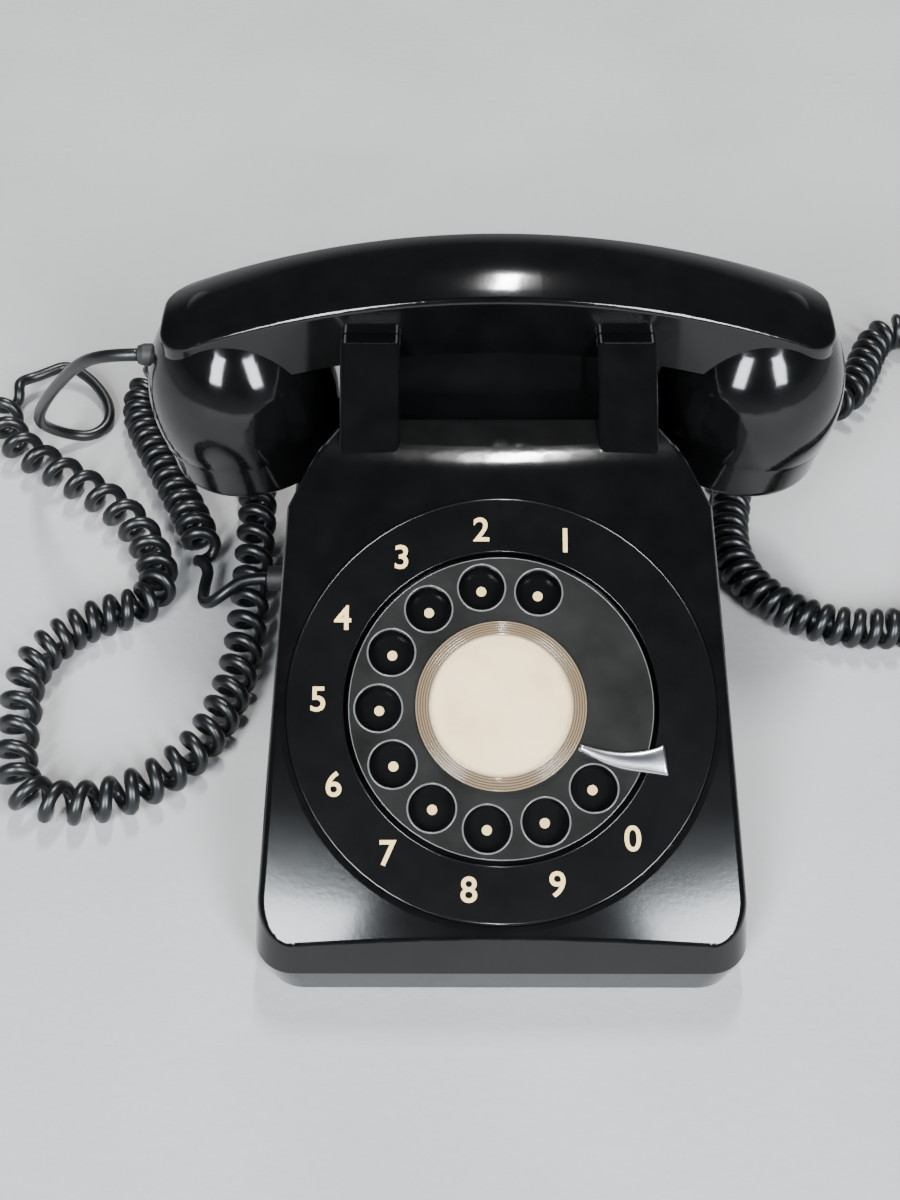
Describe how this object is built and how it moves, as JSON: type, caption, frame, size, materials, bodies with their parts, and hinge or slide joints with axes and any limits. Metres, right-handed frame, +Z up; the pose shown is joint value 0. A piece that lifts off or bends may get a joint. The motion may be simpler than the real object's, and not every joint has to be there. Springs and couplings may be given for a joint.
{
  "type": "rotary telephone",
  "caption": "Black desk telephone with a sloping face, a clear rotary dial, a handset on an eared cradle, curly handset and line cords, and a working dial train, hook switch and bell.",
  "frame": {"origin": "on the table under the middle of the body", "axes": "+X to the right seen from the dial, +Y to the back, +Z up"},
  "size_m": [0.4004, 0.3071, 0.1295],
  "materials": {
    "black_shell": "polished black moulding",
    "black_cap": "polished black moulding",
    "black_ring": "smooth black moulding",
    "clear_wheel": "smoky clear acrylic",
    "clear_cover": "clear acrylic",
    "card": "aged cream card",
    "cream_paint": "cream paint",
    "chrome_stop": "bright chrome",
    "plated_steel": "zinc plated",
    "brass_wheel": "machined brass",
    "bell_metal": "polished bell",
    "steel_pin": "ground steel",
    "nylon": "moulded nylon",
    "phenolic": "brown phenolic",
    "copper_coil": "enamelled wire under varnish",
    "contact_metal": "spring leaf",
    "rubber_black": "matte rubber",
    "cord_black": "satin black cord sheath",
    "capsule_metal": "spun can",
    "painted_plate": "black stoved enamel"
  },
  "bodies": {
    "base": {"base_plate": "painted_plate", "clapper_pin": "steel_pin", "dial_bracket": "plated_steel", "dial_frame": "plated_steel", "dial_posts": "plated_steel", "dial_rear_plate": "plated_steel", "finger_stop": "chrome_stop", "gong_left": "bell_metal", "gong_posts": "plated_steel", "gong_right": "bell_metal", "gong_screws": "plated_steel", "governor_cup": "brass_wheel", "handset_cord_curls": "cord_black", "handset_cord_gland": "rubber_black", "handset_cord_lead": "cord_black", "handset_cord_tail": "cord_black", "hook_bracket": "plated_steel", "hook_contacts": "contact_metal", "hook_lever_pin": "steel_pin", "housing": "black_shell", "housing_screws": "plated_steel", "line_cord_curls": "cord_black", "line_cord_end": "cord_black", "line_cord_gland": "rubber_black", "line_cord_lead": "cord_black", "line_plug": "rubber_black", "network_block": "phenolic", "network_terminals": "brass_wheel", "number_plate": "black_ring", "number_ring": "black_ring", "plug_pins": "brass_wheel", "pulse_contacts": "contact_metal", "ringer_coil": "copper_coil", "ringer_core": "steel_pin", "ringer_frame": "plated_steel", "rubber_feet": "rubber_black", "target_dots": "cream_paint"},
    "dial": {"finger_wheel": "clear_wheel", "card_cover": "clear_cover", "number_card": "card", "wheel_hub": "brass_wheel", "dial_shaft": "steel_pin", "main_gear": "brass_wheel"},
    "pulse_wheel": {"pulse_pinion": "brass_wheel", "governor_gear": "brass_wheel", "pulse_cam": "nylon"},
    "governor": {"governor_spindle": "brass_wheel", "governor_weights": "steel_pin"},
    "handset": {"handset_body": "black_shell", "transmitter_cap": "black_cap", "transmitter_capsule": "capsule_metal", "receiver_cap": "black_cap", "receiver_capsule": "capsule_metal", "handset_grommet": "rubber_black"},
    "left_plunger": {"hook_plunger_left": "black_cap"},
    "right_plunger": {"hook_plunger_right": "black_cap"},
    "hook_switch": {"hook_lever": "steel_pin"},
    "bell_clapper": {"clapper": "steel_pin"},
    "bell_volume": {"volume_wheel": "nylon"}
  },
  "joints": [
    {"name": "dial_turn", "type": "hinge", "parent": "base", "child": "dial", "pos_m": [0, -0.046, 0.0598], "axis": [0, -0.4695, 0.8829], "range_deg": [-330, 0], "stiffness_Nm_per_rad": 0.004, "springref_deg": 17.19},
    {"name": "pulse_turn", "type": "hinge", "parent": "base", "child": "pulse_wheel", "pos_m": [-0.02508, -0.03322, 0.0666], "axis": [0, -0.4695, 0.8829], "range_deg": [-1, 1651]},
    {"name": "governor_turn", "type": "hinge", "parent": "base", "child": "governor", "pos_m": [-0.01989, -0.04579, 0.05991], "axis": [0, -0.4695, 0.8829], "range_deg": [-6601, 1]},
    {"name": "handset_lift", "type": "slide", "parent": "base", "child": "handset", "axis": [0, 0, 1], "range_m": [0, 0.08]},
    {"name": "left_plunger_rise", "type": "slide", "parent": "base", "child": "left_plunger", "axis": [0, 0, 1], "range_m": [0, 0.007]},
    {"name": "right_plunger_rise", "type": "slide", "parent": "base", "child": "right_plunger", "axis": [0, 0, 1], "range_m": [0, 0.007]},
    {"name": "hook_swing", "type": "hinge", "parent": "base", "child": "hook_switch", "pos_m": [0, 0.044, 0.0512], "axis": [1, 0, 0], "range_deg": [0, 11.1]},
    {"name": "clapper_swing", "type": "hinge", "parent": "base", "child": "bell_clapper", "pos_m": [0, 0.06, 0.021], "axis": [0, 0, 1], "range_deg": [-2.6, 2.6], "stiffness_Nm_per_rad": 0.002},
    {"name": "volume_turn", "type": "hinge", "parent": "base", "child": "bell_volume", "pos_m": [0.03, 0.052, 0.0024], "axis": [0, 0, 1], "range_deg": [0, 120]}
  ],
  "couplings": [
    {"joint": "pulse_turn", "follows": "dial_turn", "ratio": -5},
    {"joint": "governor_turn", "follows": "dial_turn", "ratio": 20},
    {"joint": "left_plunger_rise", "follows": "handset_lift", "ratio": 0.0875},
    {"joint": "right_plunger_rise", "follows": "handset_lift", "ratio": 0.0875},
    {"joint": "hook_swing", "follows": "handset_lift", "rad_per_m": 2.4}
  ]
}
